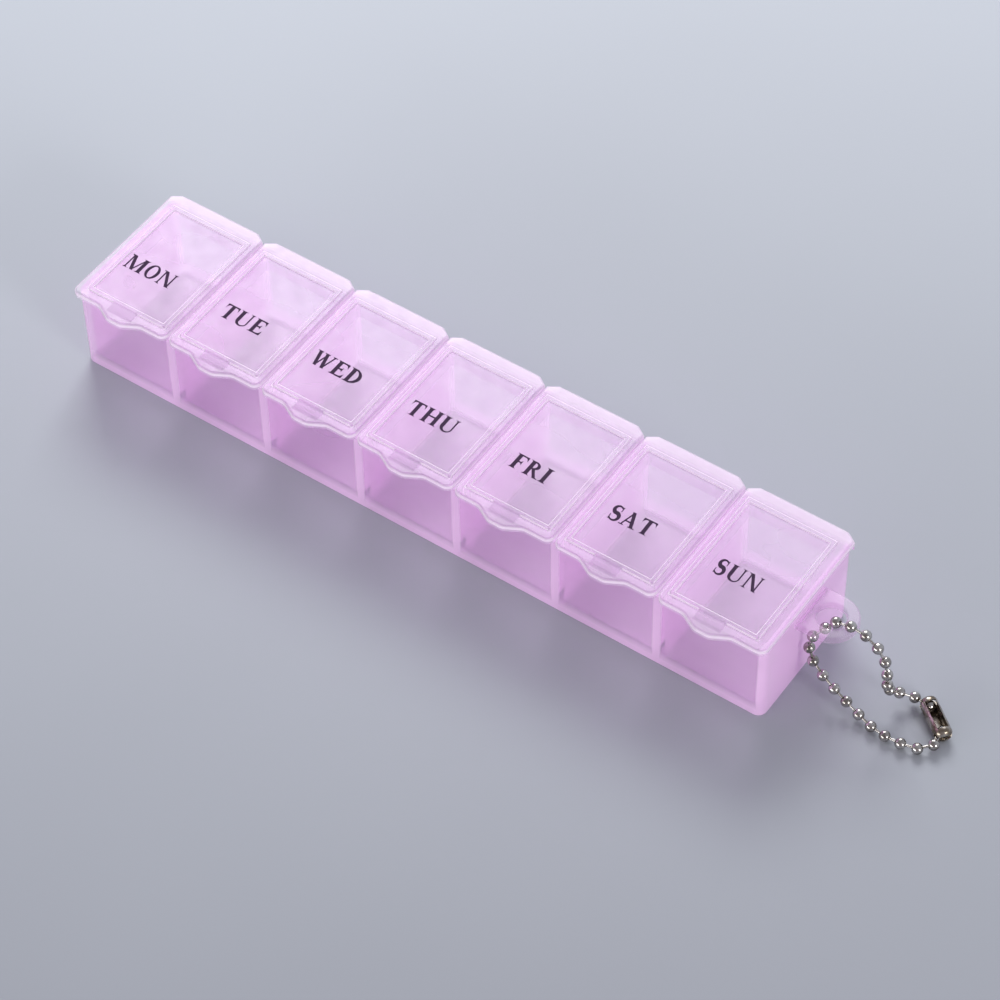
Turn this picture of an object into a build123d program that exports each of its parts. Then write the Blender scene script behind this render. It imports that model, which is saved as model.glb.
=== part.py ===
"""Weekly pill organizer: a seven-compartment tray with hinged lids and a ball chain on its end lug.

Millimetres. The origin is the centre of the tray's base, +X runs along the row of days towards the lug,
+Y to the hinge side and +Z up.
"""

import os
from math import pi

from build123d import *

# Driving dimensions of the tray
DAYS = ("mon", "tue", "wed", "thu", "fri", "sat", "sun")
tray_length = 150.0
tray_depth = 28.5
tray_height = 18.7
wall = 1.25
divider = 1.3
floor_thickness = 1.2
outer_corner_radius = 1.8
inner_corner_radius = 1.0
floor_round = 0.9
base_edge_round = 0.5

# Driving dimensions of the lids
lid_thickness = 1.25
lid_rest_gap = 0.05
lid_gap = 0.4
lid_end_overhang = 0.15
lid_front_overhang = 1.2
lid_corner_radius = 1.6
lid_edge_round = 0.5
tab_base_width = 9.6
tab_tip_width = 3.0
tab_reach = 1.8
tab_round = 2.4
thumb_ramp_width = 5.6
thumb_ramp_reach = 2.7
thumb_ramp_height = 0.28
frame_width = 18.2
frame_front_margin = 1.85
frame_rear_margin = 1.9
frame_rib_width = 0.95
frame_rib_height = 0.3
frame_rib_round = 0.12
frame_corner_radius = 1.1
plug_depth = 2.4
plug_wall = 1.0
plug_side_clearance = 0.9
plug_end_clearance = 0.3
plug_corner_radius = 1.2

# Driving dimensions of the living hinges
web_thickness = 0.4
web_bend_radius = 0.45
hinge_flange_reach = 1.25
hinge_bevel = 1.9
ledge_thickness = 1.1

# Driving dimensions of the lug on the end wall
lug_radius = 5.0
lug_hole_radius = 2.7
lug_centre_reach = 4.3
lug_thickness = 1.5
lug_drop = 1.6
lug_edge_round = 0.35

# Driving dimensions of the ball chain
bead_diameter = 2.1
bead_wall = 0.25
bead_pitch = 3.12
bead_table_clearance = 0.05
wire_radius = 0.25
wire_hole_clearance = 0.04
wire_head_radius = 0.33
wire_head_offset = 0.42
connector_diameter = 3.3
connector_wall = 0.25
connector_end_round = 0.9
connector_mouth_width = 2.0
connector_slot_height = 1.0
connector_bead_clearance = 0.12

# Sizes that follow from the driving dimensions
day_count = len(DAYS)
compartment_length = (tray_length - 2 * wall - (day_count - 1) * divider) / day_count
compartment_depth = tray_depth - 2 * wall
day_pitch = compartment_length + divider
day_centres = [(index - (day_count - 1) / 2) * day_pitch for index in range(day_count)]
rear_face = tray_depth / 2
lid_front = -tray_depth / 2 - lid_front_overhang
lid_bottom = tray_height + lid_rest_gap
lid_top = lid_bottom + lid_thickness
flange_rear = rear_face + hinge_flange_reach
web_rear = flange_rear + web_bend_radius + web_thickness / 2
# a strip of even length that folds through a half turn moves the lid about this line
hinge_axis_y = flange_rear + pi / 2 * web_bend_radius
hinge_axis_z = tray_height
lug_x = tray_length / 2 + lug_centre_reach
lug_top = tray_height - lug_drop
bead_radius = bead_diameter / 2
connector_radius = connector_diameter / 2
bead_rest = bead_radius + bead_table_clearance
connector_rest = connector_radius + bead_table_clearance

os.makedirs("parts", exist_ok=True)


def lid_edges(index):
    """Left and right edges of one lid: half a gap over each divider, flush past the end walls."""
    left = day_centres[index] - (day_pitch - lid_gap) / 2
    right = day_centres[index] + (day_pitch - lid_gap) / 2
    if index == 0:
        left = -tray_length / 2 - lid_end_overhang
    if index == day_count - 1:
        right = tray_length / 2 + lid_end_overhang
    return left, right


def hinge_outline(index, front, rear):
    """Corners, seen from above, of the bevelled tongue behind one lid between two depths."""
    left, right = lid_edges(index)
    slope = hinge_bevel / hinge_flange_reach
    front_cut = slope * (front - rear_face)
    rear_cut = slope * (rear - rear_face)
    return [
        (left + front_cut, front),
        (right - front_cut, front),
        (right - rear_cut, rear),
        (left + rear_cut, rear),
    ]


# The tray: one moulding with seven compartments, hinge ledges along the rear and the chain lug
with BuildPart() as tray:
    with BuildSketch():
        RectangleRounded(tray_length, tray_depth, outer_corner_radius)
    extrude(amount=tray_height)
    fillet(tray.faces().sort_by(Axis.Z)[0].edges(), base_edge_round)
    with BuildSketch(Plane.XY.offset(floor_thickness)):
        with GridLocations(day_pitch, 0, day_count, 1):
            RectangleRounded(compartment_length, compartment_depth, inner_corner_radius)
    extrude(amount=tray_height - floor_thickness, mode=Mode.SUBTRACT)
    floors = tray.faces().filter_by(Axis.Z).group_by(Axis.Z)[1]
    fillet(floors.edges(), floor_round)
    with BuildSketch(Plane.XY.offset(tray_height - ledge_thickness)):
        for index in range(day_count):
            with BuildLine():
                Polyline(*hinge_outline(index, rear_face, flange_rear), close=True)
            make_face()
    extrude(amount=ledge_thickness)
    with BuildSketch(Plane.XY.offset(lug_top - lug_thickness)):
        with Locations((lug_x, 0)):
            Circle(lug_radius)
        with Locations((lug_x - lug_centre_reach / 2, 0)):
            Rectangle(lug_centre_reach, 2 * lug_radius)
        with Locations((lug_x, 0)):
            Circle(lug_hole_radius, mode=Mode.SUBTRACT)
    extrude(amount=lug_thickness)
    lug_rim = tray.edges().filter_by(GeomType.CIRCLE).filter_by(
        lambda edge: edge.center().X > tray_length / 2
    )
    fillet(lug_rim, lug_edge_round)
tray.part.label = "tray"
export_step(tray.part, "parts/tray.step")

# The lids: a plate with a tab, a frame rib, a ramp from the rib down to the tab, and a plug rim that drops
# into the compartment
for index, day in enumerate(DAYS):
    centre = day_centres[index]
    left, right = lid_edges(index)
    frame_depth = rear_face - lid_front - frame_front_margin - frame_rear_margin
    frame_y = (lid_front + frame_front_margin + rear_face - frame_rear_margin) / 2
    ramp_rear = lid_front + frame_front_margin + frame_rib_width / 2
    with BuildPart() as lid:
        with BuildSketch(Plane.XY.offset(lid_bottom)) as plate:
            with BuildLine():
                Polyline(
                    (left, lid_front),
                    (centre - tab_base_width / 2, lid_front),
                    (centre - tab_tip_width / 2, lid_front - tab_reach),
                    (centre + tab_tip_width / 2, lid_front - tab_reach),
                    (centre + tab_base_width / 2, lid_front),
                    (right, lid_front),
                    *hinge_outline(index, rear_face, flange_rear)[1:],
                    (left, rear_face),
                    close=True,
                )
            make_face()
            front_corners = plate.vertices().group_by(Axis.Y)[1].sort_by(Axis.X)[0::3]
            fillet(front_corners, lid_corner_radius)
            tab_roots = plate.vertices().group_by(Axis.Y)[1].sort_by(Axis.X)[1:3]
            tab_tips = plate.vertices().group_by(Axis.Y)[0]
            fillet(tab_roots + tab_tips, tab_round)
        extrude(amount=lid_thickness)
        fillet(lid.faces().sort_by(Axis.Z)[-1].edges(), lid_edge_round)
        with BuildSketch(Plane.XY.offset(lid_top)) as rib:
            with Locations((centre, frame_y)):
                Rectangle(frame_width, frame_depth)
            fillet(rib.vertices().group_by(Axis.Y)[0], frame_corner_radius)
            offset(amount=-frame_rib_width, mode=Mode.SUBTRACT)
        extrude(amount=frame_rib_height)
        fillet(lid.faces().sort_by(Axis.Z)[-1].edges(), frame_rib_round)
        with BuildSketch(Plane.YZ.offset(centre - thumb_ramp_width / 2)):
            with BuildLine():
                Polyline(
                    (ramp_rear, lid_top),
                    (ramp_rear, lid_top + thumb_ramp_height),
                    (ramp_rear - thumb_ramp_reach, lid_top),
                    close=True,
                )
            make_face()
        extrude(amount=thumb_ramp_width)
        with BuildSketch(Plane.XY.offset(lid_bottom)):
            with Locations((centre, 0)):
                RectangleRounded(
                    compartment_length - 2 * plug_side_clearance,
                    compartment_depth - 2 * plug_end_clearance,
                    plug_corner_radius,
                )
                RectangleRounded(
                    compartment_length - 2 * plug_side_clearance - 2 * plug_wall,
                    compartment_depth - 2 * plug_end_clearance - 2 * plug_wall,
                    plug_corner_radius - plug_wall / 2,
                    mode=Mode.SUBTRACT,
                )
        extrude(amount=-plug_depth)
    lid.part.label = f"lid_{day}"
    export_step(lid.part, f"parts/lid_{day}.step")

# The living hinges: a thin strip folded through a half turn from the tray's ledge to the lid's flange
for index, day in enumerate(DAYS):
    left, right = lid_edges(index)
    with BuildPart() as hinge:
        with BuildSketch(Plane.YZ.offset(left)):
            with Locations((flange_rear, tray_height)):
                Circle(web_bend_radius + web_thickness / 2)
                Circle(web_bend_radius - web_thickness / 2, mode=Mode.SUBTRACT)
            with Locations((flange_rear - web_rear, tray_height)):
                Rectangle(2 * web_rear, 4 * web_rear, mode=Mode.SUBTRACT)
        extrude(amount=right - left)
        with BuildSketch():
            with BuildLine():
                Polyline(*hinge_outline(index, flange_rear, web_rear), close=True)
            make_face()
        extrude(amount=2 * tray_height, mode=Mode.INTERSECT)
    hinge.part.label = f"hinge_{day}"
    export_step(hinge.part, f"parts/hinge_{day}.step")

# The chain's route, from the bead at one end of the connector, over the lug, down through its hole and
# back along the table to the other end: distance from the hole's axis, depth and height
drop = lug_top + bead_radius - bead_rest
chain_route = [
    (18.7, 3.5, connector_rest),
    (15.4, 3.9, bead_rest + 0.03 * drop),
    (13.2, 2.2, bead_rest + 0.1 * drop),
    (12.1, 0.2, bead_rest + 0.23 * drop),
    (12.4, -1.1, bead_rest + 0.4 * drop),
    (12.3, -1.2, bead_rest + 0.57 * drop),
    (11.6, -1.0, bead_rest + 0.75 * drop),
    (9.9, -1.0, bead_rest + 0.9 * drop),
    (7.1, -0.8, bead_rest + 0.99 * drop),
    (4.0, -0.9, bead_rest + 1.01 * drop),
    (1.1, -0.9, bead_rest + 0.96 * drop),
    (-0.3, -1.2, bead_rest + 0.8 * drop),
    (-2.3, -2.6, bead_rest + 0.67 * drop),
    (-2.4, -2.8, bead_rest + 0.5 * drop),
    (-1.5, -2.9, bead_rest + 0.34 * drop),
    (0.7, -3.6, bead_rest + 0.27 * drop),
    (3.3, -4.2, bead_rest + 0.2 * drop),
    (6.1, -4.4, bead_rest + 0.11 * drop),
    (9.1, -4.8, bead_rest + 0.03 * drop),
    (12.4, -5.7, bead_rest),
    (15.6, -6.1, bead_rest),
    (18.7, -5.9, bead_rest),
    (21.9, -5.2, bead_rest),
    (23.8, -3.1, bead_rest + 0.02 * drop),
    (23.3, -0.1, connector_rest),
]
with BuildLine():
    route = Spline(*[(lug_x + reach, depth, height) for reach, depth, height in chain_route])
bead_count = round(route.length / bead_pitch) + 1
beads = [route.position_at(index / (bead_count - 1)) for index in range(bead_count)]
link_planes = [Plane(first, z_dir=second - first) for first, second in zip(beads, beads[1:])]
link_spans = [(second - first).length for first, second in zip(beads, beads[1:])]
# each bead is turned so that its poles and seam lie beside its wire holes
bead_planes = [Plane(plane.origin, x_dir=plane.y_dir, z_dir=plane.x_dir) for plane in link_planes]
bead_planes.append(Plane(beads[-1], x_dir=link_planes[-1].y_dir, z_dir=link_planes[-1].x_dir))
print(f"lid hinge axis: y {hinge_axis_y:.4f} mm, z {hinge_axis_z:.4f} mm")
print(f"chain: {bead_count} beads over {route.length:.1f} mm, "
      f"steps {min(link_spans):.2f} to {max(link_spans):.2f} mm")

# The beads: hollow steel balls with a hole where each wire comes out
with BuildPart() as chain_beads:
    with Locations(*bead_planes):
        Sphere(bead_radius)
        Sphere(bead_radius - bead_wall, mode=Mode.SUBTRACT)
    for plane, span in zip(link_planes, link_spans):
        with BuildSketch(plane.offset(wire_head_offset)):
            Circle(wire_radius + wire_hole_clearance)
        extrude(amount=span - 2 * wire_head_offset, mode=Mode.SUBTRACT)
chain_beads.part.label = "chain_beads"
export_step(chain_beads.part, "parts/chain_beads.step")

# The links: wires with a round head inside the bead at each end
with BuildPart() as chain_links:
    for plane, span in zip(link_planes, link_spans):
        with BuildSketch(plane.offset(wire_head_offset)):
            Circle(wire_radius)
        extrude(amount=span - 2 * wire_head_offset)
        with Locations(plane.offset(wire_head_offset), plane.offset(span - wire_head_offset)):
            Sphere(wire_head_radius)
chain_links.part.label = "chain_links"
export_step(chain_links.part, "parts/chain_links.step")

# The connector: a thin barrel over both end beads, open along its top, with a slot at each end
connector_inside = (beads[0] - beads[-1]).length + 2 * (bead_radius + connector_bead_clearance)
connector_length = connector_inside + 2 * connector_wall
connector_mouth_length = connector_inside - 2 * bead_radius
connector_skin_reach = (connector_inside + connector_wall) / 2
connector_skin_radius = connector_radius - connector_wall / 2
connector_plane = Plane((beads[0] + beads[-1]) / 2, x_dir=beads[-1] - beads[0], z_dir=(0, 0, 1))
with BuildPart(connector_plane) as chain_connector:
    with BuildSketch(connector_plane):
        with BuildLine():
            FilletPolyline(
                (-connector_skin_reach, 0),
                (-connector_skin_reach, connector_skin_radius),
                (connector_skin_reach, connector_skin_radius),
                (connector_skin_reach, 0),
                radius=connector_end_round,
            )
        trace(line_width=connector_wall)
    revolve(axis=Axis(connector_plane.origin, connector_plane.x_dir))
    with Locations((0, 0, connector_radius)):
        Box(connector_mouth_length, connector_mouth_width, connector_diameter, mode=Mode.SUBTRACT)
    with GridLocations(connector_length, 0, 2, 1):
        Box(connector_length - connector_mouth_length, connector_diameter, connector_slot_height,
            mode=Mode.SUBTRACT)
chain_connector.part.label = "chain_connector"
export_step(chain_connector.part, "parts/chain_connector.step")
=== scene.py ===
# %% [markdown]
# # A weekly pill organizer
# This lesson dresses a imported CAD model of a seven-day pill box: a long tray of translucent lilac plastic,
# a lid on a living hinge over each day, and a short steel ball chain on a lug at one end. The CAD pieces
# arrive in metres and stay where they are. The lesson adds what a CAD solid can't show: the smooth chain,
# the folding hinge strips, the printed days and every surface finish.

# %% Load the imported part
from math import cos, pi, radians, sin

import bpy
import numpy as np
from mathutils import Matrix, Vector


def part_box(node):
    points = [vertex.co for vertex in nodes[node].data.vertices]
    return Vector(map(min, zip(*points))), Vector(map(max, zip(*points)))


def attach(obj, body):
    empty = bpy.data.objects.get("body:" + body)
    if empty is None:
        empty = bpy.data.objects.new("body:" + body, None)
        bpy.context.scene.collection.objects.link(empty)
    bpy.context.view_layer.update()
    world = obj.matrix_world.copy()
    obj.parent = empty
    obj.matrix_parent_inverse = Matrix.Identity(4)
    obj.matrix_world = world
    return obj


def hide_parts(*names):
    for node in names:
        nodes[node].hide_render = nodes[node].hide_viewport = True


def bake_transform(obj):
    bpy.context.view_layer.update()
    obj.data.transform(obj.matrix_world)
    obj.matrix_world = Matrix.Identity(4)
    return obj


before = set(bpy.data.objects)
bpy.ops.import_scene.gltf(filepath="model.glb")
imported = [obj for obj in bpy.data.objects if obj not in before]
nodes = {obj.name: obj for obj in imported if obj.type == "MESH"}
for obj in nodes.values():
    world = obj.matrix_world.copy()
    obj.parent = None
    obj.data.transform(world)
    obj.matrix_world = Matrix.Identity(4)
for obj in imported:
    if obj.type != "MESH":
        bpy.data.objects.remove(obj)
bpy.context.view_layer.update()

MM = 0.001
DAYS = ["mon", "tue", "wed", "thu", "fri", "sat", "sun"]
scene = bpy.context.scene

# %% [markdown]
# ## The camera
# A photographer stood in front of the box and to its right, and looked down on it with a long lens, which
# keeps the row of lids almost parallel. The camera is placed by the turn and height of its line of sight,
# the point that it looks at and its distance. A small roll levels it, as a tripod head would.

# %% Place the camera
sight_turn = radians(35.727)
sight_height = radians(50.125)
camera_roll = radians(-1.235)
camera_distance = 630.66 * MM
looked_at = Vector((9.373, 1.044, 0.0)) * MM
lens_mm = 124.64

camera_data = bpy.data.cameras.new("long_lens")
camera_data.lens = lens_mm
camera_data.sensor_width = 36.0
camera_data.clip_start = 0.01
camera_data.clip_end = 50.0
camera = bpy.data.objects.new("camera", camera_data)
scene.collection.objects.link(camera)
back = Vector((
    sin(sight_turn) * cos(sight_height),
    -cos(sight_turn) * cos(sight_height),
    sin(sight_height),
))
level_right = Vector((0, 0, 1)).cross(back).normalized()
level_up = back.cross(level_right)
camera_x = cos(camera_roll) * level_right + sin(camera_roll) * level_up
camera_y = cos(camera_roll) * level_up - sin(camera_roll) * level_right
turn = Matrix((camera_x, camera_y, back)).transposed().to_4x4()
camera.matrix_world = Matrix.Translation(looked_at + back * camera_distance) @ turn
scene.camera = camera
print("camera stands at", [round(v / MM, 1) for v in camera.matrix_world.translation], "mm")

# %% [markdown]
# ## Putting a surface into a mesh
# Every new piece below is a surface worked out with numpy: a grid of points, one row for each step of one
# parameter and one column for each step of the other. These helpers join neighbours into four-sided faces
# and hand the arrays to Blender in one go.


# %% Helpers that turn grids into meshes
def grid_faces(rows, columns, round_rows=False, round_columns=False):
    """Faces of a grid: point (i, j) joined to (i+1, j), (i+1, j+1) and (i, j+1).
    In a round direction the last row or column is joined to the first."""
    i = np.arange(rows if round_rows else rows - 1)
    j = np.arange(columns if round_columns else columns - 1)
    i, j = np.meshgrid(i, j, indexing="ij")
    i_next = (i + 1) % rows
    j_next = (j + 1) % columns
    corners = [i * columns + j, i_next * columns + j, i_next * columns + j_next, i * columns + j_next]
    return np.stack(corners, axis=-1).reshape(-1, 4)


def put_mesh(name, points, faces, smooth=True):
    """A mesh object at the origin from an (n, 3) array of points and an (m, 4) array of faces."""
    mesh = bpy.data.meshes.new(name)
    mesh.vertices.add(len(points))
    mesh.vertices.foreach_set("co", np.asarray(points, np.float32).ravel())
    mesh.loops.add(faces.size)
    mesh.loops.foreach_set("vertex_index", faces.astype(np.int32).ravel())
    mesh.polygons.add(len(faces))
    mesh.polygons.foreach_set("loop_start", np.arange(0, faces.size, 4, dtype=np.int32))
    mesh.polygons.foreach_set("use_smooth", np.full(len(faces), smooth))
    mesh.update(calc_edges=True)
    mesh.validate()
    piece = bpy.data.objects.new(name, mesh)
    scene.collection.objects.link(piece)
    return piece


def join_grids(parts):
    """Several (points, faces) pairs as one pair, each set of faces counted on from the points before it."""
    starts = np.cumsum([0] + [len(points) for points, _ in parts[:-1]])
    points = np.concatenate([points for points, _ in parts])
    faces = np.concatenate([faces + start for (_, faces), start in zip(parts, starts)])
    return points, faces


# %% [markdown]
# ## The chain's line
# A ball chain lies like a limp cord. Its route starts at the bead in one end of the connector, climbs over
# the lug, drops through its hole and comes back along the table to the connector's other end. The points
# are listed in millimetres from the lug's axis and the table, with heights as shares of the drop
# from the lug. A smooth spline that runs close to them is the line that the beads follow.

# %% Draw the route and read points from its spline
lug_axis_x = 79.3
bead_diameter = 2.1
table_clearance = 0.05
connector_diameter = 3.3
lug_top = 17.1
bead_rest = bead_diameter / 2 + table_clearance
connector_rest = connector_diameter / 2 + table_clearance
drop = lug_top + bead_diameter / 2 - bead_rest
chain_route = [
    (18.7, 3.5, connector_rest),
    (15.4, 3.9, bead_rest + 0.03 * drop),
    (13.2, 2.2, bead_rest + 0.1 * drop),
    (12.1, 0.2, bead_rest + 0.23 * drop),
    (12.4, -1.1, bead_rest + 0.4 * drop),
    (12.3, -1.2, bead_rest + 0.57 * drop),
    (11.6, -1.0, bead_rest + 0.75 * drop),
    (9.9, -1.0, bead_rest + 0.9 * drop),
    (7.1, -0.8, bead_rest + 0.99 * drop),
    (4.0, -0.9, bead_rest + 1.01 * drop),
    (1.1, -0.9, bead_rest + 0.96 * drop),
    (-0.3, -1.2, bead_rest + 0.8 * drop),
    (-2.3, -2.6, bead_rest + 0.67 * drop),
    (-2.4, -2.8, bead_rest + 0.5 * drop),
    (-1.5, -2.9, bead_rest + 0.34 * drop),
    (0.7, -3.6, bead_rest + 0.27 * drop),
    (3.3, -4.2, bead_rest + 0.2 * drop),
    (6.1, -4.4, bead_rest + 0.11 * drop),
    (9.1, -4.8, bead_rest + 0.03 * drop),
    (12.4, -5.7, bead_rest),
    (15.6, -6.1, bead_rest),
    (18.7, -5.9, bead_rest),
    (21.9, -5.2, bead_rest),
    (23.8, -3.1, bead_rest + 0.02 * drop),
    (23.3, -0.1, connector_rest),
]
route_mm = np.array(chain_route) + np.array([lug_axis_x, 0, 0])


def spline_points(points_mm):
    """Points along the NURBS line that has these control points, in metres."""
    curve = bpy.data.curves.new("chain_line", "CURVE")
    curve.dimensions = "3D"
    curve.resolution_u = 24
    spline = curve.splines.new("NURBS")
    spline.points.add(len(points_mm) - 1)
    controls = np.column_stack([points_mm * MM, np.ones(len(points_mm))])
    spline.points.foreach_set("co", controls.astype(np.float32).ravel())
    spline.order_u = 3
    spline.use_endpoint_u = True
    holder = bpy.data.objects.new("chain_line", curve)
    scene.collection.objects.link(holder)
    bpy.context.view_layer.update()
    line = bpy.data.meshes.new_from_object(holder.evaluated_get(bpy.context.evaluated_depsgraph_get()))
    found = np.zeros(len(line.vertices) * 3)
    line.vertices.foreach_get("co", found)
    bpy.data.objects.remove(holder)
    bpy.data.curves.remove(curve)
    bpy.data.meshes.remove(line)
    return found.reshape(-1, 3)


def spaced_along(line, count):
    """Count points at even steps along a line: each coordinate read off against the length so far."""
    steps = np.linalg.norm(np.diff(line, axis=0), axis=1)
    length = np.concatenate([[0], np.cumsum(steps)])
    wanted = np.linspace(0, length[-1], count)
    places = np.column_stack([np.interp(wanted, length, line[:, axis]) for axis in range(3)])
    return places, length[-1]


bead_count = 25
chain_line = spline_points(route_mm)
bead_places, chain_length = spaced_along(chain_line, bead_count)
print(f"chain: {chain_length / MM:.1f} mm long, lowest point {chain_line[:, 2].min() / MM:.2f} mm")

# %% [markdown]
# ## The beads and the wires between them
# A real bead is a strip of steel rolled into a hollow ball round the heads of two short wires. Where a wire
# comes out, the strip turns in to a small lipped hole. One profile, the ball's outline from hole to hole,
# is turned about the chain's direction, and the same grid is placed at every bead at once.


# %% Turn the beads and wires
nearly_upright = 0.9


def directions_at(places):
    """Unit directions of a line of points: the difference of each point's neighbours."""
    forward = np.gradient(places, axis=0)
    return forward / np.linalg.norm(forward, axis=1, keepdims=True)


def side_axes(forward):
    """Two unit directions square to each forward one: its cross product with Z or X, and theirs."""
    upright = np.abs(forward[:, 2:3]) > nearly_upright
    helper = np.where(upright, [[1.0, 0.0, 0.0]], [[0.0, 0.0, 1.0]])
    side = np.cross(helper, forward)
    side /= np.linalg.norm(side, axis=1, keepdims=True)
    return side, np.cross(forward, side)


def turned(places, forward, along, radius, around):
    """A profile turned at many places: centre + forward * along + radius * (side cos a + up sin a)."""
    side, up = side_axes(forward)
    angle = np.linspace(0, 2 * pi, around, endpoint=False)
    ring = side[:, None, :] * np.cos(angle)[:, None] + up[:, None, :] * np.sin(angle)[:, None]
    points = (
        places[:, None, None, :]
        + forward[:, None, None, :] * along[None, :, None, None]
        + ring[:, None, :, :] * radius[None, :, None, None]
    )
    faces = grid_faces(len(along), around, round_columns=True)[:, ::-1]
    copies = np.arange(len(places))[:, None, None] * (len(along) * around)
    return points.reshape(-1, 3), (faces[None] + copies).reshape(-1, 4)


bead_radius = bead_diameter / 2 * MM
bead_steps = 21
bead_around = 28
wire_radius = 0.25 * MM
wire_steps = 5
wire_around = 12
wire_cover = 0.55 * bead_radius
lip_radius = 0.36 * MM
lip_depth = 0.07 * MM
bead_directions = directions_at(bead_places)

lip_angle = np.arcsin(lip_radius / bead_radius)
sweep = np.linspace(lip_angle, pi - lip_angle, bead_steps)
ball_along = -bead_radius * np.cos(sweep)
ball_radius = bead_radius * np.sin(sweep)
inner_along = np.array([ball_along[0] + lip_depth, ball_along[0] + 0.3 * lip_depth])
inner_radius = np.array([wire_radius * 0.8, wire_radius * 1.16])
bead_along = np.concatenate([inner_along, ball_along, -inner_along[::-1]])
bead_outline = np.concatenate([inner_radius, ball_radius, inner_radius[::-1]])
bead_points, bead_faces = turned(bead_places, bead_directions, bead_along, bead_outline, bead_around)
beads = put_mesh("chain_beads_turned", bead_points, bead_faces)

wire_ends = bead_places[1:] - bead_places[:-1]
wire_spans = np.linalg.norm(wire_ends, axis=1)
wire_middles = (bead_places[1:] + bead_places[:-1]) / 2
reach = wire_spans.min() / 2 - wire_cover
wire_along = np.linspace(-reach, reach, wire_steps)
wire_outline = np.full(wire_steps, wire_radius)
wire_directions = wire_ends / wire_spans[:, None]
wire_points, wire_faces = turned(wire_middles, wire_directions, wire_along, wire_outline, wire_around)
wires = put_mesh("chain_wires_turned", wire_points, wire_faces)
print(f"{bead_count} beads, {wire_spans.min() / MM:.2f} to {wire_spans.max() / MM:.2f} mm apart")

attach(beads, "chain")
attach(wires, "chain")
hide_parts("chain_beads")
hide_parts("chain_links")

# %% [markdown]
# ## The living hinges
# Tray, hinge and lid leave the mould flat, in one piece. The hinge is only a thin strip, and folding the lid
# shut bends it into a half round behind the box. The strip here is that half round as a surface of two
# parameters, the angle of the fold and the way along the lid, with an outer and an inner skin.

# %% Fold the hinge strips
tray_height = 18.7
rear_face = 14.25
flange_reach = 1.25
bevel = 1.9
bevel_slope = bevel / flange_reach
flange_rear = rear_face + flange_reach
fold_radius = 0.45
strip_thickness = 0.4
fold_steps = 15
fold_columns = 13


def folded_strip(left, right):
    """Section: y = flange + r cos a, z = height + r sin a, out over the outer skin, back over the inner.
    Along the lid, x runs from the left bevel to the right one, which close in as y goes back."""
    angle = np.linspace(-pi / 2, pi / 2, fold_steps)
    outer = fold_radius + strip_thickness / 2
    inner = fold_radius - strip_thickness / 2
    y = flange_rear + np.concatenate([outer * np.cos(angle), inner * np.cos(angle[::-1])])
    z = tray_height + np.concatenate([outer * np.sin(angle), inner * np.sin(angle[::-1])])
    cut = bevel_slope * (y - rear_face)
    share = np.linspace(0, 1, fold_columns)
    x = (left + cut)[:, None] * (1 - share) + (right - cut)[:, None] * share
    y_grid = np.broadcast_to(y[:, None], x.shape)
    z_grid = np.broadcast_to(z[:, None], x.shape)
    points = np.stack([x, y_grid, z_grid], axis=-1)
    skin = grid_faces(2 * fold_steps, fold_columns, round_rows=True)
    first = np.arange(fold_steps - 1)
    opposite = 2 * fold_steps - 1 - first
    cap = np.stack([first, opposite, opposite - 1, first + 1], axis=-1) * fold_columns
    caps = np.concatenate([cap[:, ::-1], cap + fold_columns - 1])
    return points.reshape(-1, 3) * MM, np.concatenate([skin, caps])


hinge_strips = []
for day in DAYS:
    low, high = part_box(f"lid_{day}")
    points, faces = folded_strip(low.x / MM, high.x / MM)
    strip = put_mesh(f"hinge_strip_{day}", points, faces)
    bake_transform(strip)
    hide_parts(f"hinge_{day}")
    hinge_strips.append(strip)
print(len(hinge_strips), "hinge strips")

# %% [markdown]
# ## The printed days
# Each lid carries the short name of its day, pad printed in a dark ink. The letters are drawn here from a few
# kinds of stroke on a cap height of one: upright stems that flare into serifs at their ends, slanting beams,
# thin arms, and bowls between two ellipses. Each stroke is a narrow grid, as thick as a film of ink.

# %% Kinds of stroke
STEM = 0.225
HAIR = 0.085
SERIF = 0.125
BRACKET = 0.13
HEAVY = 0.21
WAIST = 0.15
BEAK_START = 0.55


def stem(x, low=0.0, high=1.0, width=STEM, feet=(True, True)):
    """Upright stroke: half width = stem / 2 + serif * (1 - distance from the end / bracket) ** 3."""
    y = np.concatenate([np.linspace(low, low + BRACKET, 8), np.linspace(high - BRACKET, high, 8)])
    flare_low = np.clip(1 - (y - low) / BRACKET, 0, 1) ** 3 * feet[0]
    flare_high = np.clip(1 - (high - y) / BRACKET, 0, 1) ** 3 * feet[1]
    half = width / 2 + SERIF * (flare_low + flare_high)
    return np.stack([np.column_stack([x - half, y]), np.column_stack([x + half, y])], axis=1)


def beam(x_low, x_high, width, low=0.0, high=1.0):
    """Slanting stroke with level ends: x moves evenly from the foot to the head, half the width each side."""
    y = np.linspace(low, high, 9)
    x = np.linspace(x_low, x_high, 9)
    return np.stack([np.column_stack([x - width / 2, y]), np.column_stack([x + width / 2, y])], axis=1)


def foot(x, y, reach=0.19, depth=0.05):
    """A thin level serif centred at x, from y towards y + depth."""
    across = np.array([x - reach, x + reach])
    near = np.column_stack([across, [y, y]])
    away = np.column_stack([across, [y + depth, y + depth]])
    return np.stack([near, away], axis=1)


def arm(left, right, y, tip=0.0):
    """Thin level stroke that thickens into a beak at its end, by the cube of the way through the beak."""
    way = np.linspace(0, 1, 13)
    x = left + (right - left) * way
    beak = np.clip((way - BEAK_START) / (1 - BEAK_START), 0, 1) ** 3
    up = HAIR / 2 + max(tip, 0) * beak
    down = HAIR / 2 + max(-tip, 0) * beak
    return np.stack([np.column_stack([x, y - down]), np.column_stack([x, y + up])], axis=1)


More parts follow.
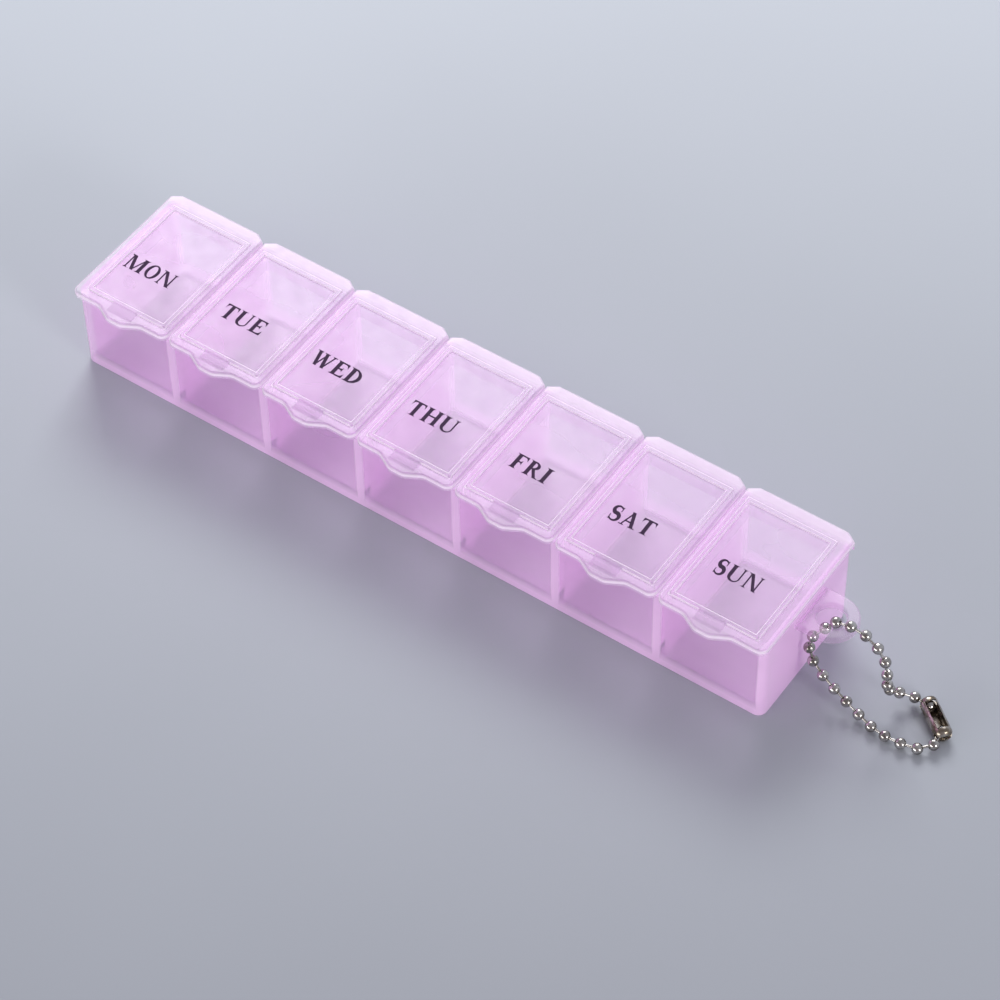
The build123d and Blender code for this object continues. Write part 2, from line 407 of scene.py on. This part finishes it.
def bowl(centre, radii, thick, start, stop, thin=HAIR, shift=0.0):
    """Band between two ellipses about one centre, from a start to a stop angle in degrees.
    Shift moves the inner ellipse sideways."""
    angle = np.radians(np.linspace(start, stop, 41))
    outer = np.column_stack([radii[0] * np.cos(angle), radii[1] * np.sin(angle)])
    inner = np.column_stack([
        shift + (radii[0] - thick) * np.cos(angle),
        (radii[1] - thin) * np.sin(angle),
    ])
    return np.stack([inner, outer], axis=1) + np.array(centre)


def snake(points, widths):
    """Stroke along a line: each point moved half the width to either side, square to the line."""
    forward = np.gradient(points, axis=0)
    forward /= np.linalg.norm(forward, axis=1, keepdims=True)
    side = np.column_stack([-forward[:, 1], forward[:, 0]])
    return np.stack([points - side * widths[:, None] / 2, points + side * widths[:, None] / 2], axis=1)


def letter_s():
    """Two part ellipses joined at the waist, widest there: width = hair + waist * cos(way * pi / 2) ** 2."""
    upper = np.radians(np.linspace(35, 262, 30))
    lower = np.radians(np.linspace(82, -145, 30))
    top = np.column_stack([0.36 + 0.23 * np.cos(upper), 0.745 + 0.235 * np.sin(upper)])
    low = np.column_stack([0.36 + 0.26 * np.cos(lower), 0.26 + 0.26 * np.sin(lower)])
    way = np.linspace(-1, 1, 60)
    widths = HAIR + WAIST * np.cos(way * pi / 2) ** 2
    return [
        snake(np.concatenate([top, low]), widths),
        beam(0.565, 0.58, 0.05, 0.68, 1.0),
        beam(0.125, 0.12, 0.05, 0.0, 0.33),
    ]


# %% The letters, each a list of strokes and its width
LETTERS = {
    "A": ([beam(0.13, 0.45, HAIR), beam(0.76, 0.42, HEAVY), arm(0.22, 0.66, 0.33), foot(0.13, 0.0, 0.15),
           foot(0.76, 0.0, 0.2)], 0.96),
    "D": ([stem(0.23), bowl((0.3, 0.5), (0.57, 0.5), HEAVY, -90, 90), foot(0.24, 0.0, 0.2),
           foot(0.24, 0.95, 0.2)], 0.9),
    "E": ([stem(0.23), arm(0.23, 0.78, 1 - HAIR / 2, -0.22), arm(0.23, 0.58, 0.51, 0.12),
           arm(0.23, 0.58, 0.51, -0.12), arm(0.23, 0.82, HAIR / 2, 0.22)], 0.86),
    "F": ([stem(0.23), arm(0.23, 0.76, 1 - HAIR / 2, -0.22), arm(0.23, 0.56, 0.51, 0.12),
           arm(0.23, 0.56, 0.51, -0.12)], 0.8),
    "H": ([stem(0.23), stem(0.85), arm(0.23, 0.85, 0.51)], 1.08),
    "I": ([stem(0.23)], 0.46),
    "M": ([stem(0.17, width=HAIR), stem(1.08), beam(0.62, 0.24, HEAVY), beam(0.62, 1.02, HAIR),
           foot(0.15, 0.95, 0.13)], 1.3),
    "N": ([stem(0.17, width=HAIR), stem(0.85, width=HAIR), beam(0.82, 0.21, HEAVY),
           foot(0.13, 0.95, 0.12)], 1.02),
    "O": ([bowl((0.46, 0.5), (0.42, 0.52), 0.19, 0, 360)], 0.92),
    "R": ([stem(0.23), bowl((0.34, 0.735), (0.38, 0.265), 0.19, -90, 90), arm(0.23, 0.36, 1 - HAIR / 2),
           arm(0.23, 0.4, 0.5), beam(0.8, 0.44, HEAVY, 0.0, 0.5), foot(0.82, 0.0, 0.15)], 0.98),
    "S": (letter_s(), 0.74),
    "T": ([stem(0.46), arm(0.46, 0.88, 1 - HAIR / 2, -0.24), arm(0.46, 0.04, 1 - HAIR / 2, -0.24)], 0.92),
    "U": ([stem(0.23, low=0.28, feet=(False, True)), stem(0.85, low=0.28, width=HAIR, feet=(False, True)),
           bowl((0.51, 0.3), (0.38, 0.32), 0.135, 180, 360, shift=0.065)], 1.06),
    "W": ([beam(0.4, 0.15, 0.2), beam(0.4, 0.66, HAIR), beam(0.86, 0.6, 0.2), beam(0.86, 1.12, HAIR),
           foot(0.14, 0.95, 0.17), foot(0.6, 0.95, 0.17), foot(1.13, 0.95, 0.13)], 1.28),
}


# %% Lay the words out on the lids
cap_height = 3.5
letter_gap = 0.06
ink_thickness = 0.03
ink_step = 0.0012
ink_sink = 0.01
word_middle = (-1.7, -3.45)
word_widths = {"mon": 10.8, "tue": 9.4, "wed": 10.6, "thu": 10.2, "fri": 7.8, "sat": 8.8, "sun": 8.9}
word_tilts = {"mon": 0.0, "tue": 0.3, "wed": -0.6, "thu": 0.8, "fri": -0.4, "sat": 2.0, "sun": 0.4}
lid_face = 20.0


def ink_film(stroke, height):
    """A closed slab over a stroke's grid: a lower and an upper copy of its rim, joined all round."""
    steps = len(stroke)
    low = np.concatenate([stroke[:, 0], stroke[::-1, 1]])
    bottom = np.column_stack([low, np.full(len(low), lid_face - ink_sink)])
    top = np.column_stack([low, np.full(len(low), lid_face + height)])
    points = np.concatenate([bottom, top])
    count = 2 * steps
    walls = grid_faces(2, count, round_columns=True)[:, ::-1]
    first = np.arange(steps - 1)
    flat = np.stack([first, first + 1, count - 2 - first, count - 1 - first], axis=-1)
    return points, np.concatenate([walls, flat[:, ::-1], flat + count])


def word(day):
    """The strokes of a day's letters side by side, scaled to its printed width and turned by its tilt."""
    letters = [LETTERS[letter] for letter in day.upper()]
    edges = np.cumsum([0] + [width + letter_gap for _, width in letters])
    whole = edges[-1] - letter_gap
    stretch = np.array([word_widths[day] / whole, cap_height])
    tilt = radians(word_tilts[day])
    spin = np.array([[cos(tilt), sin(tilt)], [-sin(tilt), cos(tilt)]])
    strokes = [stroke + [edge, 0] for (made, _), edge in zip(letters, edges) for stroke in made]
    return [((stroke - [whole / 2, 0.5]) * stretch) @ spin for stroke in strokes]


day_centres = {}
for day in DAYS:
    low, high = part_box(f"hinge_{day}")
    day_centres[day] = (low.x + high.x) / 2 / MM

words = []
for day in DAYS:
    place = np.array([day_centres[day] + word_middle[0], word_middle[1]])
    films = [ink_film(stroke + place, ink_thickness + k * ink_step) for k, stroke in enumerate(word(day))]
    points, faces = join_grids(films)
    printed = put_mesh(f"print_{day}", points * MM, faces, smooth=False)
    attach(printed, f"lid_{day}")
    words.append(printed)
print(len(words), "printed words")

# %% [markdown]
# ## Finishes
# A material is a small graph of nodes. The first helper makes one with a Principled shader and hands back its
# parts, so that each finish below only says what is special about it. The others are patterns and steps of
# arithmetic. Patterns read Object coordinates, which here are metres in the part's own frame.


# %% A blank finish and pattern helpers
def blank_finish(name):
    """A material with a Principled shader, its node tree and its Object coordinates."""
    material = bpy.data.materials.new(name)
    material.use_nodes = True
    tree = material.node_tree
    shader = tree.nodes["Principled BSDF"]
    place = tree.nodes.new("ShaderNodeTexCoord").outputs["Object"]
    return material, tree, shader, place


def noise(tree, place, scale, detail=3.0, stretch=(1, 1, 1)):
    """A noise pattern of about scale blotches per metre, drawn out along the axes by stretch."""
    mapping = tree.nodes.new("ShaderNodeMapping")
    mapping.inputs["Scale"].default_value = stretch
    tree.links.new(place, mapping.inputs["Vector"])
    texture = tree.nodes.new("ShaderNodeTexNoise")
    texture.inputs["Scale"].default_value = scale
    texture.inputs["Detail"].default_value = detail
    tree.links.new(mapping.outputs["Vector"], texture.inputs["Vector"])
    return texture.outputs["Fac"]


def ramp(tree, value, stops):
    """Colours along a value from 0 to 1, given as (place, colour) stops."""
    blend = tree.nodes.new("ShaderNodeValToRGB")
    for element, (place, colour) in zip(blend.color_ramp.elements, stops):
        element.position = place
        element.color = (*colour, 1)
    tree.links.new(value, blend.inputs["Fac"])
    return blend.outputs["Color"]


def spread(tree, value, low, high, from_low=0.3, from_high=0.7):
    """A value mapped from one range to another."""
    mapped = tree.nodes.new("ShaderNodeMapRange")
    mapped.inputs["From Min"].default_value = from_low
    mapped.inputs["From Max"].default_value = from_high
    mapped.inputs["To Min"].default_value = low
    mapped.inputs["To Max"].default_value = high
    tree.links.new(value, mapped.inputs["Value"])
    return mapped.outputs["Result"]


def shifted(tree, share, colour, towards):
    """A colour moved towards another one by a share from 0 to 1."""
    mixer = tree.nodes.new("ShaderNodeMix")
    mixer.data_type = "RGBA"
    tree.links.new(share, mixer.inputs["Factor"])
    tree.links.new(colour, mixer.inputs["A"])
    mixer.inputs["B"].default_value = (*towards, 1)
    return mixer.outputs["Result"]


def bump(tree, shader, height, distance, strength):
    """Small relief: the height pattern pushes the normal, by distance in metres."""
    relief = tree.nodes.new("ShaderNodeBump")
    relief.inputs["Distance"].default_value = distance
    relief.inputs["Strength"].default_value = strength
    tree.links.new(height, relief.inputs["Height"])
    tree.links.new(relief.outputs["Normal"], shader.inputs["Normal"])


# %% [markdown]
# ## Translucent polypropylene
# The plastic is a thin clouded sheet. Most light goes straight through each face and takes up a little lilac,
# so that the far walls and the floor show through. Some of it is scattered by the cloud, forwards and back,
# and a soft gloss lies on top. The cloud looks denser where a face is seen at a slant, and where more plastic
# lies behind the face: at the dividers and along the tray's foot. On the lids, the rims and both edges of the
# ribs carry painted highlight lines, paler and cloudier, and the strip over the rear wall is paler too. Slow
# noise shifts the tint as the flow of the melt does.


# %% Lilac plastic
# limits between which the cloud changes, in millimetres of the part's own frame; on the lids the rim and rib
# limits place painted highlight lines
day_pitch = 21.257
divider_sides = (9.6, 9.95)
outer_walls = (13.65, 13.7)
tray_foot = (1.8, 4.0)
tray_floor = (1.4, 1.8)
lug_start = (75.2, 75.8)
rim_heights = (19.15, 19.97)
rim_soft = 0.25
rib_half_width = 9.1
rib_half_depth = 12.975
rib_middle = -0.625
rib_corner = 0.5
rib_outer_line = (-0.24, 0.12)
rib_inner_line = (-1.08, -0.72)
rib_line_soft = 0.12
ramp_sides = (2.6, 3.0)
ramp_rear = (-13.0, -12.9)
lid_top = (19.9, 19.95)
lid_rear = (12.4, 13.6)

# the most that the cloud or a painted highlight can grow, and shares of that
extra_cloud_or_highlight = 0.65
floor_cloud = 0.25
lug_clearing = 0.12
rear_cloud = 0.7

# half a day, so that a day counts from its middle, and ten more to keep the count above zero
days_before = 10.5
plastic_index = 1.49


def mixed(tree, share, first, second):
    """Two shaders mixed: share of the second, from a number or a node's output."""
    mixer = tree.nodes.new("ShaderNodeMixShader")
    if isinstance(share, float):
        mixer.inputs["Fac"].default_value = share
    else:
        tree.links.new(share, mixer.inputs["Fac"])
    tree.links.new(first, mixer.inputs[1])
    tree.links.new(second, mixer.inputs[2])
    return mixer.outputs["Shader"]


def sums(tree, operation, first, second):
    """One arithmetic step on two values, each a number or a node's output."""
    step = tree.nodes.new("ShaderNodeMath")
    step.operation = operation
    for socket, value in zip(step.inputs, (first, second)):
        if isinstance(value, (int, float)):
            socket.default_value = value
        else:
            tree.links.new(value, socket)
    return step.outputs["Value"]


def size_of(tree, value):
    """A value without its sign."""
    return sums(tree, "ABSOLUTE", value, 0.0)


def passing(tree, value, limits, before=0.0, after=1.0):
    """One value before a pair of limits in millimetres and another after it, fading between them."""
    return spread(tree, value, before, after, limits[0] * MM, limits[1] * MM)


def between(tree, value, limits, soft):
    """1 where a value lies between two limits, fading to 0 over a soft margin inside each of them."""
    low, high = limits
    rise = passing(tree, value, (low, low + soft))
    fall = passing(tree, value, (high - soft, high), 1.0, 0.0)
    return sums(tree, "MINIMUM", rise, fall)


def day_and_axes(tree, place):
    """X counted from the middle of each day, by the fraction of a day's length, and then X, Y and Z."""
    axes = tree.nodes.new("ShaderNodeSeparateXYZ")
    tree.links.new(place, axes.inputs["Vector"])
    days = sums(tree, "ADD", sums(tree, "DIVIDE", axes.outputs["X"], day_pitch * MM), days_before)
    part_of_day = sums(tree, "SUBTRACT", sums(tree, "FRACT", days, 0.0), 0.5)
    in_day = sums(tree, "MULTIPLY", part_of_day, day_pitch * MM)
    return in_day, axes.outputs["X"], axes.outputs["Y"], axes.outputs["Z"]


def solid_behind(tree, place):
    """Where the tray is milkier: at its dividers, along its foot and a little on its floor.
    The thin lug is clearer."""
    in_day, x, y, z = day_and_axes(tree, place)
    at_divider = passing(tree, size_of(tree, in_day), divider_sides)
    outside = passing(tree, size_of(tree, y), outer_walls)
    at_foot = sums(tree, "MULTIPLY", outside, passing(tree, z, tray_foot, 1.0, 0.0))
    on_floor = passing(tree, z, tray_floor, floor_cloud, 0.0)
    solid = sums(tree, "MAXIMUM", at_divider, sums(tree, "MAXIMUM", at_foot, on_floor))
    in_lug = passing(tree, x, lug_start, 0.0, lug_clearing)
    return sums(tree, "SUBTRACT", solid, in_lug)


def lid_painted_highlights(tree, place):
    """Painted highlights of a lid: its upper rim and both edges of its rib; also the paler strip over the
    rear wall.
    The rib's edges are lines of equal distance from a box: the larger of |x| - half width and
    |y| - half depth. The front edge gives way to the thumb ramp."""
    in_day, _, y, z = day_and_axes(tree, place)
    # the rim and both edges of the rib get painted highlight lines, paler and cloudier
    rim_highlight = between(tree, z, rim_heights, rim_soft)
    beyond_x = sums(tree, "SUBTRACT", size_of(tree, in_day), rib_half_width * MM)
    from_middle = size_of(tree, sums(tree, "SUBTRACT", y, rib_middle * MM))
    beyond_y = sums(tree, "SUBTRACT", from_middle, rib_half_depth * MM)
    beyond = sums(tree, "SMOOTH_MAX", beyond_x, beyond_y)
    beyond.node.inputs[2].default_value = rib_corner * MM
    outer = between(tree, beyond, rib_outer_line, rib_line_soft)
    inner = between(tree, beyond, rib_inner_line, rib_line_soft)
    off_ramp = passing(tree, size_of(tree, in_day), ramp_sides)
    beside_ramp = sums(tree, "MAXIMUM", off_ramp, passing(tree, y, ramp_rear))
    lines = sums(tree, "MAXIMUM", inner, sums(tree, "MULTIPLY", outer, beside_ramp))
    rib_highlights_on_top = sums(tree, "MULTIPLY", lines, passing(tree, z, lid_top))
    at_rear = passing(tree, y, lid_rear, 0.0, rear_cloud)
    return sums(tree, "MAXIMUM", sums(tree, "MAXIMUM", rim_highlight, at_rear), rib_highlights_on_top)


def lilac_plastic(name, tint, pale, deep, cloud, frost, cloud_or_highlight_mask=None, cloud_or_highlight_colour=(1, 1, 1)):
    """Clouded sheet: tinted see-through mixed with scattered light, under a gloss on its outer side."""
    material = bpy.data.materials.new(name)
    material.use_nodes = True
    tree = material.node_tree
    tree.nodes.remove(tree.nodes["Principled BSDF"])
    place = tree.nodes.new("ShaderNodeTexCoord").outputs["Object"]
    flow = noise(tree, place, scale=45, detail=2, stretch=(0.6, 1, 1.4))
    colour = ramp(tree, flow, [(0.35, deep), (0.65, pale)])
    slant = tree.nodes.new("ShaderNodeLayerWeight")
    slant.inputs["Blend"].default_value = 0.5
    density = spread(tree, slant.outputs["Facing"], cloud[0], cloud[1], 0.35, 1.0)
    density = sums(tree, "ADD", density, spread(tree, flow, -0.03, 0.03))
    # the mask adds cloud and shifts the colour: thicker plastic on the tray, painted highlights on the lids
    if cloud_or_highlight_mask:
        here = cloud_or_highlight_mask(tree, place)
        density = sums(tree, "ADD", density, sums(tree, "MULTIPLY", here, extra_cloud_or_highlight))
        colour = shifted(tree, here, colour, cloud_or_highlight_colour)
    through = tree.nodes.new("ShaderNodeBsdfTransparent")
    through.inputs["Color"].default_value = (*tint, 1)
    back_scatter = tree.nodes.new("ShaderNodeBsdfDiffuse")
    tree.links.new(colour, back_scatter.inputs["Color"])
    forward_scatter = tree.nodes.new("ShaderNodeBsdfTranslucent")
    tree.links.new(colour, forward_scatter.inputs["Color"])
    milk = mixed(tree, 0.5, back_scatter.outputs["BSDF"], forward_scatter.outputs["BSDF"])
    sheet = mixed(tree, density, through.outputs["BSDF"], milk)
    gloss = tree.nodes.new("ShaderNodeBsdfGlossy")
    haze = noise(tree, place, scale=350, detail=1)
    tree.links.new(spread(tree, haze, *frost), gloss.inputs["Roughness"])
    bump(tree, gloss, noise(tree, place, scale=130, detail=2), distance=0.0002, strength=0.12)
    shine = tree.nodes.new("ShaderNodeFresnel")
    shine.inputs["IOR"].default_value = plastic_index
    inner_side = tree.nodes.new("ShaderNodeNewGeometry").outputs["Backfacing"]
    outer_shine = sums(tree, "MULTIPLY", shine.outputs["Fac"], sums(tree, "SUBTRACT", 1.0, inner_side))
    whole = mixed(tree, outer_shine, sheet, gloss.outputs["BSDF"])
    tree.links.new(whole, tree.nodes["Material Output"].inputs["Surface"])
    return material


plastic_frost = (0.28, 0.36)
tray_lilac = lilac_plastic(
    "tray_lilac", tint=(1.0, 0.935, 1.0), pale=(1.0, 0.88, 1.0), deep=(1.0, 0.84, 1.0),
    cloud=(0.18, 0.36), frost=plastic_frost, cloud_or_highlight_mask=solid_behind, cloud_or_highlight_colour=(1.0, 0.80, 1.0),
)
# on the lids the mask paints highlight lines and a paler rear strip, shifted towards near white
lid_lilac = lilac_plastic(
    "lid_lilac", tint=(0.995, 0.955, 1.0), pale=(0.99, 0.94, 1.0), deep=(0.98, 0.91, 1.0),
    cloud=(0.22, 0.55), frost=plastic_frost, cloud_or_highlight_mask=lid_painted_highlights, cloud_or_highlight_colour=(1.0, 0.93, 1.0),
)
strip_lilac = lilac_plastic(
    "strip_lilac", tint=(1.0, 0.96, 1.0), pale=(1.0, 0.96, 1.0), deep=(0.995, 0.93, 0.995),
    cloud=(0.4, 0.7), frost=plastic_frost,
)

# %% [markdown]
# ## Plated steel and ink
# The chain is nickel-plated steel that has rubbed in a drawer: bright, with soft scuffs and a warmer, duller
# skin on the connector. The ink is a purple black with a slightly uneven cover.


# %% Steel and ink
def plated_steel(name, bright, dull, gloss):
    """Metal whose colour and roughness drift together from bright to dull with scuff noise."""
    material, tree, shader, place = blank_finish(name)
    scuff = noise(tree, place, scale=700, detail=5)
    tree.links.new(ramp(tree, scuff, [(0.35, dull), (0.6, bright)]), shader.inputs["Base Color"])
    tree.links.new(spread(tree, scuff, gloss[1], gloss[0]), shader.inputs["Roughness"])
    shader.inputs["Metallic"].default_value = 1.0
    bump(tree, shader, noise(tree, place, scale=2500, detail=2), distance=0.00002, strength=0.2)
    return material


def day_ink(name):
    """Dark ink film: two near blacks mixed by fine noise, almost without gloss."""
    material, tree, shader, place = blank_finish(name)
    cover = noise(tree, place, scale=1600, detail=4)
    tree.links.new(
        ramp(tree, cover, [(0.3, (0.05, 0.022, 0.06)), (0.7, (0.03, 0.012, 0.04))]),
        shader.inputs["Base Color"],
    )
    tree.links.new(spread(tree, cover, 0.7, 0.55), shader.inputs["Roughness"])
    shader.inputs["Specular IOR Level"].default_value = 0.15
    return material


bead_steel = plated_steel(
    "bead_steel", bright=(0.56, 0.54, 0.52), dull=(0.26, 0.24, 0.22), gloss=(0.1, 0.22)
)
wire_steel = plated_steel(
    "wire_steel", bright=(0.6, 0.58, 0.56), dull=(0.36, 0.33, 0.3), gloss=(0.16, 0.3)
)
connector_steel = plated_steel(
    "connector_steel", bright=(0.5, 0.46, 0.41), dull=(0.2, 0.16, 0.12), gloss=(0.12, 0.3)
)
ink = day_ink("day_ink")


def wear(piece, material):
    """Gives a piece one material in every slot."""
    piece.data.materials.clear()
    piece.data.materials.append(material)


wear(nodes["tray"], tray_lilac)
for day, strip, printed in zip(DAYS, hinge_strips, words):
    wear(nodes[f"lid_{day}"], lid_lilac)
    wear(strip, strip_lilac)
    wear(printed, ink)
wear(beads, bead_steel)
wear(wires, wire_steel)
wear(nodes["chain_connector"], connector_steel)
print("finishes:", [m.name for m in bpy.data.materials])

# %% [markdown]
# ## The studio
# The box stands on a pale sheet whose colour carries painted light falloff: lighter at the back, greyer in
# front and pale far away. A broad lamp hangs behind it and to the left, so that the lids mirror some of it
# and the shadows fall forward. Two low lamps, one on the right and one in front, light the walls and hardly
# reach the sheet. The surroundings are brighter behind than in front, which gives the steel its dark sides.

# %% Floor, lamps and surroundings
floor_half = 4.0
floor_level = -0.05 * MM
falloff_reach = 0.16
far_start = 0.4
far_end = 2.0
# painted light falloff on the sheet: shaded grey in front, lit grey at the back, pale far away
floor_shaded_front = (0.308, 0.322, 0.362)
floor_lit_back = (0.56, 0.6, 0.655)
floor_lit_far = (0.9, 0.92, 0.97)
front_sky = (0.28, 0.24, 0.25)
back_sky = (0.6, 0.63, 0.705)
floor_corners = np.array([[-1, -1, 0], [1, -1, 0], [1, 1, 0], [-1, 1, 0]])
floor_points = floor_corners * floor_half + [0, 0, floor_level]
floor = put_mesh("floor", floor_points, np.array([[0, 1, 2, 3]]), smooth=False)
floor_finish, floor_tree, floor_shader, floor_place = blank_finish("pale_sheet")
floor_axes = floor_tree.nodes.new("ShaderNodeSeparateXYZ")
floor_tree.links.new(floor_place, floor_axes.inputs["Vector"])
depth = sums(
    floor_tree, "ADD",
    sums(floor_tree, "MULTIPLY", floor_axes.outputs["X"], -sin(sight_turn)),
    sums(floor_tree, "MULTIPLY", floor_axes.outputs["Y"], cos(sight_turn)),
)
mottle = spread(floor_tree, noise(floor_tree, floor_place, scale=9, detail=2), -0.03, 0.03)
painted_falloff = sums(floor_tree, "ADD", spread(floor_tree, depth, 0.0, 1.0, -falloff_reach, falloff_reach), mottle)
painted_falloff_colour = ramp(floor_tree, painted_falloff, [(0.0, floor_shaded_front), (1.0, floor_lit_back)])
away = floor_tree.nodes.new("ShaderNodeVectorMath")
away.operation = "LENGTH"
floor_tree.links.new(floor_place, away.inputs[0])
far = spread(floor_tree, away.outputs["Value"], 0.0, 1.0, far_start, far_end)
floor_painted_colour = shifted(floor_tree, far, painted_falloff_colour, floor_lit_far)
floor_tree.links.new(floor_painted_colour, floor_shader.inputs["Base Color"])
floor_shader.inputs["Roughness"].default_value = 0.55
floor_shader.inputs["Specular IOR Level"].default_value = 0.25
wear(floor, floor_finish)


def soft_lamp(name, place, target, size, power):
    """A flat lamp, its size in metres and power in watts, turned to a target and unseen by the camera."""
    data = bpy.data.lights.new(name, "AREA")
    data.shape = "RECTANGLE"
    data.size, data.size_y = size
    data.energy = power
    lamp = bpy.data.objects.new(name, data)
    lamp.location = place
    lamp.visible_camera = False
    lamp.rotation_euler = (Vector(target) - Vector(place)).to_track_quat("-Z", "Y").to_euler()
    scene.collection.objects.link(lamp)


soft_lamp("back_softbox", place=(-0.62, 0.95, 0.98), target=(0, 0.05, 0), size=(0.8, 0.6), power=14.5)
soft_lamp("right_window", place=(1.0, -0.25, 0.36), target=(0.05, 0, 0), size=(0.3, 0.35), power=4.0)
soft_lamp("front_fill", place=(-0.3, -0.95, 0.2), target=(0, 0, 0.01), size=(1.0, 0.25), power=4.4)

world = bpy.data.worlds.new("studio")
scene.world = world
world.use_nodes = True
sky = world.node_tree
direction = sky.nodes.new("ShaderNodeTexCoord").outputs["Generated"]
parts = sky.nodes.new("ShaderNodeSeparateXYZ")
sky.links.new(direction, parts.inputs["Vector"])
backness = spread(sky, parts.outputs["Y"], 0.0, 1.0, -0.9, 0.9)
sky_colour = ramp(sky, backness, [(0.0, front_sky), (1.0, back_sky)])
sky.links.new(sky_colour, sky.nodes["Background"].inputs["Color"])
sky.nodes["Background"].inputs["Strength"].default_value = 1.0

scene.view_settings.view_transform = "Standard"
scene.cycles.max_bounces = 24
scene.cycles.diffuse_bounces = 10
scene.cycles.glossy_bounces = 6
scene.cycles.transparent_max_bounces = 40
